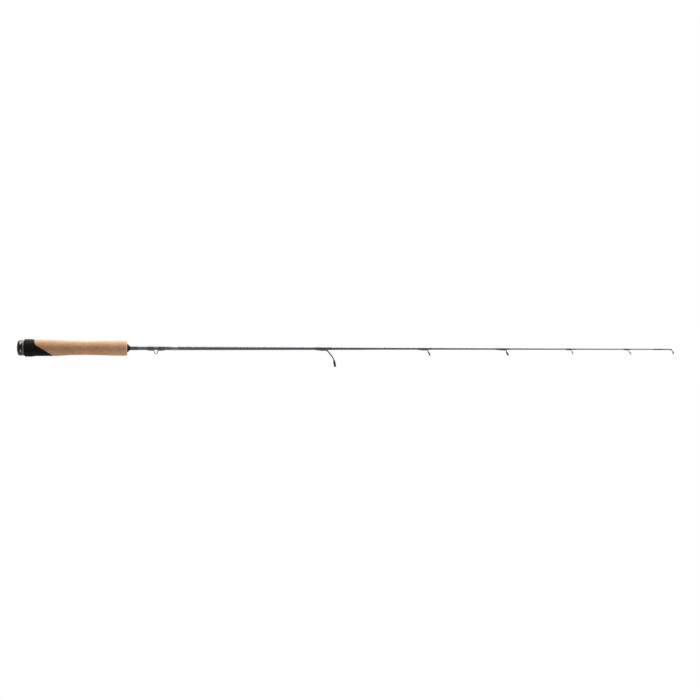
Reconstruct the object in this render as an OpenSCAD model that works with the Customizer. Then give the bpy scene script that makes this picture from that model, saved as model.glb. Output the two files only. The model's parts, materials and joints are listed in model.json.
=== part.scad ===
/* [Overall] */
// Length from the butt cap to the front of the tip ring
rod_length = 914.4; // [900:0.1:960]

/* [Butt end] */
// Radius of the butt cap
cap_r = 10.85; // [9:0.05:11.5]
// Length of the butt cap, dome included
cap_length = 6.9; // [6:0.1:12]
// Depth of the domed end of the cap
cap_dome = 4; // [2:0.1:5]
// Radius of the flat spot in the middle of the dome
cap_flat_r = 3; // [2:0.1:5]
// Radius of the spigot that centres the cap in the grip
spigot_r = 8; // [5:0.1:8.5]
// Length of that spigot past the cap's shoulder
spigot_length = 7; // [5:0.1:9]
// Radius of the trim ring between cap and grip
butt_ring_r = 10.7; // [9:0.05:11.5]
// Width of the trim ring
butt_ring_width = 2.8; // [1.5:0.1:4]

/* [Handle] */
// Largest radius of the handle, on the black butt grip
grip_r = 12.3; // [11.5:0.05:13]
// Radius of the cork just ahead of the butt grip
cork_rear_r = 11.2; // [10.5:0.05:12]
// Radius at the waist, where a reel is taped on
waist_r = 9.75; // [9:0.05:10.5]
// Radius at the front end of the cork
cork_front_r = 10.7; // [10:0.05:12]
// Front end of the cork
handle_end = 153.5; // [150:0.1:156]
// Number of cork rings glued end to end
cork_rings = 10; // [10]
// Where the first cork ring starts, at the top of the diagonal joint
joint_top_x = 24.5; // [22:0.1:26]
// Slope of the diagonal joint below the horizontal, in degrees
joint_slope = 31.5; // [28:0.5:40]
// Radius that turns the joint from upright to diagonal
joint_bend_r = 8; // [5:0.5:9]
// Height where that bend starts, above the centre line
joint_bend_z = 9.6; // [8:0.1:10]

/* [Blank] */
// Diameter of the blank at its butt
blank_butt_d = 5.6; // [5:0.1:6]
// Diameter of the blank where its fast taper ends
blank_mid_d = 3.1; // [2.8:0.1:3.4]
// Diameter of the blank at its tip
blank_tip_d = 1.4; // [1.3:0.05:1.5]
// Gap between two glued surfaces
glue_gap = 0.03; // [0.02:0.01:0.06]

/* [Flexing] */
// Centre of each flex joint along the blank
flex_x = [320, 498, 622, 725.5, 811.5, 868.7]; // [310:0.5:880]
// Half the gap between the end faces at a flex joint
flex_gap = 0.25; // [0.22:0.01:0.3]
// Radius of the flex knuckle as a share of the blank's radius
knuckle_share = 0.55; // [0.45:0.05:0.6]

/* [Guides] */
// Where each guide's legs leave the thread wrap
guide_x = [430.4, 570.6, 679.6, 771.0, 850.4]; // [425:0.1:855]
// Distance from there forward to the ring's centre
guide_reach = [11.6, 3.0, 2.9, 1.8, 2.9]; // [1.5:0.1:13]
// Depth of the ring's centre below the blank's centre line
guide_drop = [21.1, 6.9, 6.8, 4.9, 5.2]; // [4:0.1:22]
// Outside diameter of the ring's metal hoop
guide_hoop_d = [9.4, 5.8, 5.5, 4.3, 4.3]; // [4:0.1:10]
// Lean of the ring, its lower side forward, in degrees
guide_lean = [10, 29, 30, 20, 35]; // [5:1:40]
// Length of the thread wrap over the foot
guide_wrap_length = [15.2, 13.6, 13.4, 8.4, 7.2]; // [6:0.1:16]
// Length of the short lock wrap ahead of the legs
lock_wrap_length = [6.2, 4.4, 5.4, 4.7, 2.4]; // [2:0.1:7]

/* [Hook keeper] */
// Centre of the hook keeper's loop along the blank
keeper_x = 193.3; // [190:0.1:196]
// Depth of the loop's lowest point below the centre line
keeper_depth = 8.1; // [7.5:0.1:9]
// Outside width of the loop
keeper_width = 5.8; // [5.4:0.1:6.5]
// Diameter of the keeper's wire
keeper_wire_d = 1; // [0.9:0.05:1.1]

/* [Tip] */
// Outside diameter of the tip-top's tube
tip_tube_d = 2.3; // [2.2:0.05:2.6]
// Length of that tube
tip_tube_length = 12.3; // [9:0.1:13]
// Outside diameter of the tip ring's hoop
tip_hoop_d = 4.9; // [4.6:0.1:5.4]
// Lean of the tip ring, its lower side forward, in degrees
tip_lean = 25; // [20:1:30]
// Depth of the tip ring's centre below the centre line
tip_drop = 4.7; // [4.5:0.1:5.2]

/* [Hidden] */

round_fn = 64;
profile_step = 2.2;

// butt end, worked out
ring_start = cap_length;
grip_start = ring_start + butt_ring_width;
grip_shoulder = 2.5;
grip_full_x = grip_start + grip_shoulder;
spigot_end = cap_length + spigot_length;
blank_start = 4.5;
cap_edge = 0.5;
ring_edge = 0.35;

// handle outline: [distance from the butt, radius], joined by eased curves
handle_stations = [
    [grip_start, butt_ring_r], [grip_full_x, grip_r], [18.5, grip_r], [28, 11.45],
    [54, cork_rear_r], [78, 9.9], [93, waist_r], [149, cork_front_r], [handle_end, cork_front_r]
];
cork_start = joint_top_x;
cork_length = (handle_end - cork_start) / cork_rings;
cork_edge_r = 1.6;
butt_grip_reach = 54;

// blank taper: [distance from the butt, diameter], joined by straight tapers
blank_stations = [
    [0, blank_butt_d], [250, blank_butt_d], [478, 3.6], [506, blank_mid_d],
    [650, 2.35], [800, 1.72], [rod_length, blank_tip_d]
];

// trim on the blank ahead of the cork
check_length = 4;
check_rear_r = 5.8;
check_front_r = 3.15;
fore_wrap_length = 10.9;
wrap_thickness = 0.22;
band_start = 214.8;
band_length = 9.3;
band_thickness = 0.12;

// hook keeper, worked out
keeper_wire_r = keeper_wire_d / 2;
keeper_bend_r = keeper_width / 2 - keeper_wire_r;
keeper_foot_z = -(blank_butt_d / 2 + keeper_wire_r + glue_gap);
keeper_bend_z = keeper_wire_r + keeper_bend_r - keeper_depth;
keeper_foot_length = 8.4;
keeper_wrap_length = 9.2;
keeper_wrap_gap = 0.2;

// flex joints, worked out
knuckle_half_length = 0.8;
knuckle_neck = 0.8;
knuckle_clearance = 0.08;

// guides, worked out
foot_width = [2, 1.5, 1.4, 1.2, 1.1];
foot_thickness = [0.95, 0.75, 0.7, 0.6, 0.6];
foot_lead = [1.2, 1, 1.15, 0.75, 0.75];
strut_lead = [0.65, 0.58, 0.65, 0.4, 0.4];
strut_thickness = [1.35, 1, 1.1, 0.7, 0.7];
strut_width = [1.5, 1, 0.95, 0.8, 0.8];
hoop_wall = [0.5, 0.45, 0.42, 0.38, 0.38];
hoop_width = [2.4, 1.5, 1.9, 1, 1];
ring_wall = [1.05, 0.75, 0.72, 0.6, 0.6];
ring_width = [3, 1.9, 2.3, 1.3, 1.3];
strut_hoop_angle = 48;
strut_run = 0.36;
foot_inset = 1.2;
foot_full_at = 0.55;
wrap_full_at = 0.5;
lock_wrap_lead = 1.4;

// tip-top, worked out
tip_tube_end = rod_length - 3.3;
tip_tube_start = tip_tube_end - tip_tube_length;
tip_ring_x = rod_length - 1.5;
tip_wrap_length = 13.8;
tip_hoop_wall = 0.42;
tip_hoop_width = 1.1;
tip_ring_wall = 0.7;
tip_ring_width = 1.45;
tip_neck_width = 2;
blank_end = tip_tube_end - 1.2;

black = "#1c1e1f";
cork = "#d2a883";
graphite = "#5b6064";
thread = "#474b50";
steel = "#3e4143";
silver = "#8a888c";
bronze = "#5a4b3c";

// interpolation along a list of [distance, value] stations
function ease(t) = t * t * (3 - 2 * t);
function share(a, b, x) = max(0, min(1, (x - a) / (b - a)));
function segment(s, x, i = 0) = i >= len(s) - 2 || x < s[i + 1][0] ? i : segment(s, x, i + 1);
function straight(s, x, i) = s[i][1] + (s[i + 1][1] - s[i][1]) * share(s[i][0], s[i + 1][0], x);
function eased(s, x, i) = s[i][1] + (s[i + 1][1] - s[i][1]) * ease(share(s[i][0], s[i + 1][0], x));

function blank_r(x) = straight(blank_stations, x, segment(blank_stations, x)) / 2;
function handle_r(x) = eased(handle_stations, x, segment(handle_stations, x)) - front_round(x);
function front_round(x) = x <= handle_end - cork_edge_r ? 0
    : cork_edge_r - sqrt(max(0, pow(cork_edge_r, 2) - pow(x - handle_end + cork_edge_r, 2)));

// evenly spaced distances from a to b, and the stations between them that a taper must keep
function spaced(a, b, step) = let (n = max(1, ceil((b - a) / step))) [for (i = [0:n]) a + (b - a) * i / n];
function handle_stops(a, b) = [for (i = [0:len(handle_stations) - 2])
    let (from = max(a, handle_stations[i][0]), to = min(b, handle_stations[i + 1][0]))
    if (to > from) for (x = spaced(from, to, profile_step)) if (x < to) x];
function taper_stops(a, b) = concat([a], [for (s = blank_stations) if (s[0] > a && s[0] < b) s[0]], [b]);
function reversed(list) = [for (i = [len(list) - 1:-1:0]) list[i]];

// a solid turned about the rod's centre line, from points [radius, distance]
module turned(points) rotate([0, 90, 0]) rotate_extrude($fn = round_fn) polygon(points);

// a tapered sleeve or rod that follows the blank's surface
module blank_layer(from, to, inner, outer) {
    stops = taper_stops(from, to);
    turned(concat([for (x = stops) [blank_r(x) + outer, x]],
                  [for (x = reversed(stops)) [blank_r(x) + inner, x]]));
}
module blank_solid(from, to, grow = 0) {
    turned(concat([[0, from]], [for (x = taper_stops(from, to)) [blank_r(x) + grow, x]], [[0, to]]));
}

// ---- butt end and handle ----

cap_start_angle = asin(cap_flat_r / cap_r);
function cap_dome_x(a) = cap_dome * (cos(cap_start_angle) - cos(a));

module butt_cap() {
    dome = [for (a = spaced(cap_start_angle, 90, 8)) [cap_r * sin(a), cap_dome_x(a)]];
    color(black) difference() {
        turned(concat([[0, 0]], dome,
                      [[cap_r, cap_length - cap_edge], [cap_r - cap_edge, cap_length],
                       [spigot_r, cap_length], [spigot_r, spigot_end], [0, spigot_end]]));
        blank_solid(blank_start - glue_gap, spigot_end + 1, glue_gap);
    }
}

module butt_trim_ring() {
    color(bronze) turned([
        [spigot_r + glue_gap, ring_start], [butt_ring_r - ring_edge, ring_start],
        [butt_ring_r, ring_start + ring_edge], [butt_ring_r, grip_start - ring_edge],
        [butt_ring_r - ring_edge, grip_start], [spigot_r + glue_gap, grip_start]]);
}

// everything behind the joint of grip and cork: upright above, then an arc into a diagonal
module behind_joint(shift = 0) {
    reach = 60;
    turn = 90 - joint_slope;
    bend = [for (a = spaced(0, turn, 8)) [joint_top_x + shift + joint_bend_r * (1 - cos(a)),
                                          joint_bend_z - joint_bend_r * sin(a)]];
    last = bend[len(bend) - 1];
    rotate([90, 0, 0]) linear_extrude(2 * reach, center = true)
        polygon(concat([[-reach, -reach], [-reach, reach], [joint_top_x + shift, reach]], bend,
                       [[last[0] + reach, last[1] - reach * tan(joint_slope)],
                        [last[0] + reach, -reach]]));
}

module handle_layer(from, to) {
    edge = to < handle_end - 1 ? [] : [for (x = spaced(to - cork_edge_r, to, 0.3)) if (x < to) x];
    body = [for (x = handle_stops(from, to)) if (len(edge) == 0 || x < edge[0] - 0.1) x];
    stops = concat(body, edge, [to]);
    difference() {
        turned(concat([[0, from]], [for (x = stops) [handle_r(x), x]], [[0, to]]));
        blank_solid(from - 1, to + 1, glue_gap);
    }
}

module butt_grip() {
    color(black) difference() {
        intersection() {
            handle_layer(grip_start, butt_grip_reach);
            behind_joint();
        }
        translate([grip_start - 1, 0, 0]) rotate([0, 90, 0])
            cylinder(r = spigot_r + glue_gap, h = spigot_end + glue_gap - grip_start + 1, $fn = round_fn);
    }
}

module cork_ring(number) {
    from = cork_start + (number - 1) * cork_length;
    color(cork) difference() {
        handle_layer(from, from + cork_length);
        if (from < butt_grip_reach) behind_joint(glue_gap);
    }
}

// ---- trim and hook keeper on the butt of the blank ----

module winding_check() {
    end = handle_end + check_length;
    color(black) turned([
        [blank_r(handle_end) + glue_gap, handle_end], [check_rear_r - 0.4, handle_end],
        [check_rear_r, handle_end + 0.5], [check_rear_r - 0.5, handle_end + 1.3],
        [check_front_r + 0.4, end - 0.6], [check_front_r, end], [blank_r(end) + glue_gap, end]]);
}

module fore_wrap() {
    from = handle_end + check_length;
    color(thread) blank_layer(from, from + fore_wrap_length, glue_gap, wrap_thickness);
}

// one leg of the keeper, with the foot that lies along the blank
module keeper_leg(side) {
    leg_x = keeper_x + side * keeper_bend_r;
    translate([leg_x, 0, keeper_bend_z])
        cylinder(r = keeper_wire_r, h = keeper_foot_z - keeper_bend_z, $fn = 32);
    translate([leg_x, 0, keeper_foot_z]) {
        sphere(r = keeper_wire_r, $fn = 32);
        rotate([0, side * 90, 0]) cylinder(r = keeper_wire_r, h = keeper_foot_length, $fn = 32);
    }
}

module hook_keeper() {
    color(steel) union() {
        translate([keeper_x, 0, keeper_bend_z]) rotate([-90, 0, 0])
            rotate_extrude(angle = 180, $fn = 48)
                translate([keeper_bend_r, 0]) circle(r = keeper_wire_r, $fn = 32);
        keeper_leg(-1);
        keeper_leg(1);
    }
}

// thread wound over the blank and the keeper's foot together
module keeper_wrap(side) {
    inner_x = keeper_x + side * (keeper_bend_r + keeper_wire_r + keeper_wrap_gap);
    outer_x = inner_x + side * keeper_wrap_length;
    from = min(inner_x, outer_x);
    to = max(inner_x, outer_x);
    foot_end = keeper_x + side * (keeper_bend_r + keeper_foot_length);
    color(thread) difference() {
        hull() {
            translate([from, 0, 0]) rotate([0, 90, 0])
                cylinder(r = blank_butt_d / 2 + wrap_thickness, h = to - from, $fn = 48);
            translate([min(inner_x, foot_end), 0, keeper_foot_z]) rotate([0, 90, 0])
                cylinder(r = keeper_wire_r + 0.1, h = abs(foot_end - inner_x), $fn = 24);
        }
        blank_solid(from - 1, to + 1, glue_gap);
        translate([min(inner_x - side, foot_end + side * glue_gap), 0, keeper_foot_z]) rotate([0, 90, 0])
            cylinder(r = keeper_wire_r + glue_gap, h = abs(foot_end - inner_x) + 1 + glue_gap, $fn = 32);
    }
}

module trim_band() {
    color(silver) blank_layer(band_start, band_start + band_length, glue_gap, band_thickness);
}

// ---- blank, in sections that meet at the flex joints ----

function knuckle_r(x) = knuckle_share * blank_r(x);

// a round knuckle across the blank; grown, it is the cut that the knuckle turns in
module knuckle(x, half_length, grow = 0) {
    translate([x, 0, 0]) rotate([90, 0, 0])
        cylinder(r = knuckle_r(x) + grow, h = 2 * half_length, center = true, $fn = 48);
}

// section 0 is the butt; each later section carries the knuckle at its rear end
module blank_section(number) {
    last = len(flex_x);
    from = number == 0 ? blank_start : flex_x[number - 1] + flex_gap;
    to = number == last ? blank_end : flex_x[number] - flex_gap;
    color(graphite) difference() {
        union() {
            blank_solid(from, to);
            if (number > 0) {
                hinge_x = flex_x[number - 1];
                knuckle(hinge_x, knuckle_half_length * blank_r(hinge_x));
                translate([hinge_x, 0, 0]) rotate([0, 90, 0])
                    cylinder(r = knuckle_neck * knuckle_r(hinge_x), h = flex_gap + 0.5, $fn = 48);
            }
        }
        if (number < last) knuckle(flex_x[number], blank_butt_d, knuckle_clearance);
    }
}

// ---- guides ----

// moves the children, built about the Z axis, to a guide's ring
module at_ring(x, drop, lean) translate([x, 0, -drop]) rotate([0, 90 - lean, 0]) children();

module hoop(d, width) cylinder(d = d, h = width, center = true, $fn = round_fn);

// the line ring: a rounded insert about the Z axis with a true cylindrical bore
module line_ring(outer_r, wall, width) {
    round = wall * 0.42;
    bore_r = outer_r - wall;
    arc = spaced(0, 90, 15);
    rotate_extrude($fn = round_fn) polygon(concat(
        [for (a = arc) [bore_r + round - round * cos(a), width / 2 - round + round * sin(a)]],
        [for (a = reversed(arc)) [outer_r - round + round * cos(a), width / 2 - round + round * sin(a)]],
        [for (a = arc) [outer_r - round + round * cos(a), -width / 2 + round - round * sin(a)]],
        [for (a = reversed(arc)) [bore_r + round - round * cos(a), -width / 2 + round - round * sin(a)]]));
}

function foot_top(x) = -blank_r(x) + 0.4;
function foot_bottom(x, i) = -blank_r(x) - glue_gap - foot_thickness[i];

// the foot: a thin tongue under the blank, tapering to nothing towards the butt
module foot_block(i, grow = 0) {
    rear = guide_x[i] - guide_wrap_length[i] + foot_inset;
    front = guide_x[i] + foot_lead[i];
    full = rear + foot_full_at * (front - rear);
    rotate([90, 0, 0]) linear_extrude(foot_width[i] + 2 * grow, center = true)
        polygon([[rear - grow, foot_top(rear)], [rear - grow, -blank_r(rear) - glue_gap - 0.1 - grow],
                 [full, foot_bottom(full, i) - grow], [front, foot_bottom(front, i) - grow],
                 [front, foot_top(front)]]);
}

function bezier(p, t) = pow(1 - t, 2) * p[0] + 2 * t * (1 - t) * p[1] + t * t * p[2];
function slope(p, t) = let (d = 2 * (1 - t) * (p[1] - p[0]) + 2 * t * (p[2] - p[1])) d / norm(d);

// side outline of a strut, as three Bezier points: from the foot, forward and down, into the ring's plane
function strut_curve(i) = let (
    attach = (guide_hoop_d[i] - hoop_wall[i]) / 2 * cos(strut_hoop_angle),
    root = [guide_x[i] + strut_lead[i], -blank_r(guide_x[i]) - glue_gap - foot_thickness[i] / 2],
    end = [guide_x[i] + guide_reach[i] - attach * sin(guide_lean[i]),
           attach * cos(guide_lean[i]) - guide_drop[i]],
    down = [sin(guide_lean[i]), -cos(guide_lean[i])],
    run = strut_run * norm(end - root))
    [root, end - run * down, end];

// one strut: a strip in the guide's side plane, splayed out to the side of the hoop
module strut(i, side) {
    p = strut_curve(i);
    root_y = (foot_width[i] - strut_width[i]) / 2;
    end_y = (guide_hoop_d[i] - hoop_wall[i]) / 2 * sin(strut_hoop_angle);
    splay = atan2(end_y - root_y, p[0][1] - p[2][1]);
    flat = [for (q = p) [q[0], p[0][1] + (q[1] - p[0][1]) / cos(splay)]];
    steps = [for (k = [0:10]) k / 10];
    side_edge = function (s) [for (t = steps) bezier(flat, t)
        + s * strut_thickness[i] / 2 * [-slope(flat, t)[1], slope(flat, t)[0]]];
    translate([0, side * root_y, p[0][1]]) rotate([side * splay, 0, 0]) translate([0, 0, -p[0][1]])
        rotate([90, 0, 0]) linear_extrude(strut_width[i], center = true)
            polygon(concat(side_edge(1), reversed(side_edge(-1))));
}

module guide_frame(number) {
    i = number - 1;
    ring_x = guide_x[i] + guide_reach[i];
    color(steel) difference() {
        union() {
            difference() {
                foot_block(i);
                blank_solid(guide_x[i] - guide_wrap_length[i], guide_x[i] + 3, glue_gap);
            }
            strut(i, -1);
            strut(i, 1);
            at_ring(ring_x, guide_drop[i], guide_lean[i]) hoop(guide_hoop_d[i], hoop_width[i]);
        }
        at_ring(ring_x, guide_drop[i], guide_lean[i])
            hoop(guide_hoop_d[i] - 2 * hoop_wall[i], 3 * hoop_width[i]);
    }
}

module guide_ring(number) {
    i = number - 1;
    outer_r = guide_hoop_d[i] / 2 - hoop_wall[i] - glue_gap;
    color(black) at_ring(guide_x[i] + guide_reach[i], guide_drop[i], guide_lean[i])
        line_ring(outer_r, ring_wall[i], ring_width[i]);
}

// thread wound over the blank and the foot together
module guide_wrap(number) {
    i = number - 1;
    to = guide_x[i];
    from = to - guide_wrap_length[i];
    full = from + wrap_full_at * guide_wrap_length[i];
    color(thread) difference() {
        union() {
            blank_solid(from, to, wrap_thickness);
            rotate([90, 0, 0]) linear_extrude(foot_width[i] + 2 * wrap_thickness, center = true)
                polygon([[from, foot_top(from)], [from, -blank_r(from) - wrap_thickness],
                         [full, foot_bottom(full, i) - wrap_thickness],
                         [to, foot_bottom(to, i) - wrap_thickness],
                         [to, foot_top(to)]]);
        }
        blank_solid(from - 1, to + 1, glue_gap);
        foot_block(i, glue_gap);
    }
}

module guide_lock_wrap(number) {
    i = number - 1;
    from = guide_x[i] + lock_wrap_lead;
    color(thread) blank_layer(from, from + lock_wrap_length[i], glue_gap, wrap_thickness);
}

// ---- tip-top ----

module tip_top_frame() {
    up = [-sin(tip_lean), cos(tip_lean)];
    hoop_top = [tip_ring_x, -tip_drop] + (tip_hoop_d / 2 - tip_hoop_wall / 2) * up;
    color(steel) difference() {
        union() {
            translate([tip_tube_start, 0, 0]) rotate([0, 90, 0])
                cylinder(d = tip_tube_d, h = tip_tube_length, $fn = round_fn);
            rotate([90, 0, 0]) linear_extrude(tip_neck_width, center = true)
                polygon([[tip_tube_end - 2.6, -0.3], [tip_tube_end - 0.2, -0.3], hoop_top + [0.45, 0.2],
                         hoop_top + [0.4, -0.5], hoop_top + [-0.45, -0.6], [tip_tube_end - 2, -1.6]]);
            at_ring(tip_ring_x, tip_drop, tip_lean) hoop(tip_hoop_d, tip_hoop_width);
        }
        at_ring(tip_ring_x, tip_drop, tip_lean) hoop(tip_hoop_d - 2 * tip_hoop_wall, 3 * tip_hoop_width);
        translate([tip_tube_start - 1, 0, 0]) rotate([0, 90, 0])
            cylinder(r = blank_r(tip_tube_start) + glue_gap,
                     h = blank_end + 1.1 - tip_tube_start, $fn = round_fn);
    }
}

module tip_top_ring() {
    outer_r = tip_hoop_d / 2 - tip_hoop_wall - glue_gap;
    color(black) at_ring(tip_ring_x, tip_drop, tip_lean) line_ring(outer_r, tip_ring_wall, tip_ring_width);
}

module tip_top_wrap() {
    to = tip_tube_start - 0.1;
    color(thread) blank_layer(to - tip_wrap_length, to, glue_gap, wrap_thickness);
}

butt_cap();
butt_trim_ring();
butt_grip();
cork_ring(1);  // cork_ring_01
cork_ring(2);  // cork_ring_02
cork_ring(3);  // cork_ring_03
cork_ring(4);  // cork_ring_04
cork_ring(5);  // cork_ring_05
cork_ring(6);  // cork_ring_06
cork_ring(7);  // cork_ring_07
cork_ring(8);  // cork_ring_08
cork_ring(9);  // cork_ring_09
cork_ring(10);  // cork_ring_10
winding_check();
fore_wrap();
hook_keeper();
keeper_wrap(-1);  // keeper_wrap_rear
keeper_wrap(1);  // keeper_wrap_front
trim_band();
blank_section(0);  // blank_butt
blank_section(1);  // blank_section_1
blank_section(2);  // blank_section_2
blank_section(3);  // blank_section_3
blank_section(4);  // blank_section_4
blank_section(5);  // blank_section_5
blank_section(6);  // blank_section_6
guide_frame(1);  // guide_1_frame
guide_frame(2);  // guide_2_frame
guide_frame(3);  // guide_3_frame
guide_frame(4);  // guide_4_frame
guide_frame(5);  // guide_5_frame
guide_ring(1);  // guide_1_ring
guide_ring(2);  // guide_2_ring
guide_ring(3);  // guide_3_ring
guide_ring(4);  // guide_4_ring
guide_ring(5);  // guide_5_ring
guide_wrap(1);  // guide_1_wrap
guide_wrap(2);  // guide_2_wrap
guide_wrap(3);  // guide_3_wrap
guide_wrap(4);  // guide_4_wrap
guide_wrap(5);  // guide_5_wrap
guide_lock_wrap(1);  // guide_1_lock_wrap
guide_lock_wrap(2);  // guide_2_lock_wrap
guide_lock_wrap(3);  // guide_3_lock_wrap
guide_lock_wrap(4);  // guide_4_lock_wrap
guide_lock_wrap(5);  // guide_5_lock_wrap
tip_top_frame();
tip_top_ring();
tip_top_wrap();
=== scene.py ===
"""Looks of an ice fishing rod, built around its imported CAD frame.

X runs from the butt to the tip and Z points up. Shapes are in millimetres until a piece is finished.
"""

import json
import math
from types import SimpleNamespace

import bmesh
import bpy
import numpy as np
from mathutils import Matrix, Vector


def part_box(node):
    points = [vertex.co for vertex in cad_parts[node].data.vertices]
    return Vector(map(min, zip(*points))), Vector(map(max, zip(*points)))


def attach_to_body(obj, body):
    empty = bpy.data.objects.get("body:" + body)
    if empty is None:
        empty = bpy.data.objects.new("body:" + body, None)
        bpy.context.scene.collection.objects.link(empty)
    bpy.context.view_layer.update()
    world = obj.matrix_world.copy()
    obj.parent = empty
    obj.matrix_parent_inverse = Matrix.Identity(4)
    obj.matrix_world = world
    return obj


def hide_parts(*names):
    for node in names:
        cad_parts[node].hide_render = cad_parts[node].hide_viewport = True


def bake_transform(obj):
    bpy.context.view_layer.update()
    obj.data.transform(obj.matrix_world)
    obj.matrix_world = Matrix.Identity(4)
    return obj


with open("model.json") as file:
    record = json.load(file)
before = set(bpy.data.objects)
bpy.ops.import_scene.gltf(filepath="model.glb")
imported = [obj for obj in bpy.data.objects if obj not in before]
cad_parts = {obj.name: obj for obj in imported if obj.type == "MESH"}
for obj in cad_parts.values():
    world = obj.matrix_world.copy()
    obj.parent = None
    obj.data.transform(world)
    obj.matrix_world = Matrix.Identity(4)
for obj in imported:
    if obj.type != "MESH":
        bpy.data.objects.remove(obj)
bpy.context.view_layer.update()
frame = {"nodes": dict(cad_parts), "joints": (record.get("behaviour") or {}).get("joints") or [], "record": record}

MM = 0.001
# The gap of a glued joint, and the distance within which the points left by a cut are joined.
GAP = 0.03
WELD = 0.002

BODY_OF = {
    node: body for body, nodes in frame["record"]["behaviour"]["bodies"].items() for node in nodes
}

# Outlines as in the CAD, in millimetres: distance from the butt, then radius or diameter.
HANDLE_STATIONS = [
    (9.7, 10.7), (12.2, 12.3), (18.5, 12.3), (28, 11.45), (54, 11.2),
    (78, 9.9), (93, 9.75), (149, 10.7), (153.5, 10.7),
]
HANDLE_END = 153.5
CORK_EDGE = 1.6
GRIP_REACH = 54.0
SLEEVE_EDGE = 0.14
BLANK_STATIONS = [(0, 5.6), (250, 5.6), (478, 3.6), (506, 3.1), (650, 2.35), (800, 1.72), (914.4, 1.4)]
BLANK_START = 4.5
BLANK_END = 909.9

CAP_RADIUS = 10.85
CAP_LENGTH = 6.9
CAP_DOME = 4.0
CAP_FLAT_RADIUS = 3.0
CAP_EDGE = 0.45
CAP_SIDE = (4.5, 5.3, 6.2)
SPIGOT_RADIUS = 8.0
SPIGOT_END = 13.9
RING_RADIUS = 10.7
RING_EDGE = 0.38
RING_GROOVE_DEPTH = 0.12

DASHES = 6
DASH_START = 4.25
DASH_END = 6.1
DASH_SLANT = 0.3
DASH_HALF_ANGLE = math.radians(11.5)
DASH_FIRST_ANGLE = math.radians(-54)
DASH_PROUD = 0.022
DASH_SUNK = 0.05

JOINT_TOP_X = 24.5
JOINT_BEND_Z = 9.6
JOINT_BEND_R = 8.0
JOINT_SLOPE = math.radians(31.5)

# Thread wraps: their depth over the blank, and how far their ends are domed.
WRAP_THICKNESS = 0.22
TRIM_THICKNESS = 0.12
TIP_WRAP_THICKNESS = 0.32
WRAP_RIM = 0.012
WRAP_DOME = 0.8

KEEPER_X = 193.3
KEEPER_DEPTH = 8.1
KEEPER_BEND_R = 2.4
KEEPER_WIRE_R = 0.5
KEEPER_FOOT = 8.4
KEEPER_FLAT = 0.6
KEEPER_CORNER = 0.9
# Its feet: the share of their thickness at the tips, and how long the taper and the step to round wire are.
KEEPER_TIP_SHARE = 0.3
KEEPER_TAPER = 3.5
KEEPER_STEP_BEHIND = 2.2
KEEPER_STEP = 1.4
KEEPER_WRAP_WIDTH = 1.1
KEEPER_WRAP_LEAD = 1.2

# The guides. x is where the legs leave the wrap, reach and drop place the ring from there,
# and lean is in degrees.
GUIDES = {
    "x": [430.4, 570.6, 679.6, 771.0, 850.4],
    "reach": [11.6, 3.0, 2.9, 1.8, 2.9],
    "drop": [21.1, 6.9, 6.8, 4.9, 5.2],
    "lean": [10, 29, 30, 20, 35],
    "hoop_d": [9.4, 5.8, 5.5, 4.3, 4.3],
    "hoop_wall": [0.5, 0.45, 0.42, 0.38, 0.38],
    "hoop_width": [2.4, 1.5, 1.9, 1.0, 1.0],
    "ring_wall": [1.05, 0.75, 0.72, 0.6, 0.6],
    "ring_width": [3.0, 1.9, 2.3, 1.3, 1.3],
    "foot_width": [2.0, 1.5, 1.4, 1.2, 1.1],
    "foot_thickness": [0.95, 0.75, 0.7, 0.6, 0.6],
    "foot_lead": [1.2, 1.0, 1.15, 0.75, 0.75],
    "strut_lead": [0.65, 0.58, 0.65, 0.4, 0.4],
    "strut_thickness": [1.5, 1.1, 1.25, 0.74, 0.8],
    "strut_width": [1.5, 1.0, 0.95, 0.8, 0.8],
    "wrap_length": [15.2, 13.6, 13.4, 8.4, 7.2],
    "voxel": [0.12, 0.075, 0.075, 0.065, 0.065],
}
FOOT_INSET = 1.2
FOOT_TIP = 0.1
FOOT_FULL_AT = 0.55
FOOT_RISE = 1.6
STRUT_HOOP_ANGLE = math.radians(48)
STRUT_RUN = 0.36
STRUT_ENDS = 1.13
STRUT_WAIST = 0.05
STRUT_NARROWING = 0.1

# The tip-top: its tube, ring and neck.
TIP_TUBE_RADIUS = 1.0
TIP_TUBE_START = 898.8
TIP_TUBE_END = 911.1
TIP_RING_X = 912.9
TIP_RING_Z = -4.7
TIP_LEAN = math.radians(25)
TIP_HOOP_RADIUS = 2.45
TIP_HOOP_WALL = 0.42
TIP_HOOP_WIDTH = 1.1
TIP_RING_WALL = 0.7
TIP_RING_WIDTH = 1.45
TIP_BRACE_ANGLE = math.radians(62)
TIP_BRACE_WIDTH = 0.6
TIP_BRACE_ROOT = 0.35

# Where the flex joints sit along the rod, in millimetres.
FLEX_X = [joint["pos_m"][0] / MM for joint in frame["joints"]]

# Where the colour changes along the rod, in metres: a painted highlight that makes the cork's rounded front edge
# paler, the darker front of the blank and the blackened loop of the tip-top.
CORK_HIGHLIGHT = (0.1508, 0.1533)
BLANK_DARKENS = (0.32, 0.60)
TIP_BLACKENS = (0.9102, 0.9116)

# The stage, in metres and watts.
ROD_MIDDLE_X = 0.46
CAMERA_PLACE = (0.46336, -10.82, -0.00195)
CAMERA_LENS = 400
CAMERA_ROLL = math.radians(-0.13)
AMBIENT = 0.37
FLOOR_HEIGHT = -0.32
FLOOR_GREY = 0.46


# ---- numbers ----


def ease(t):
    return t * t * (3 - 2 * t)


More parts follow.
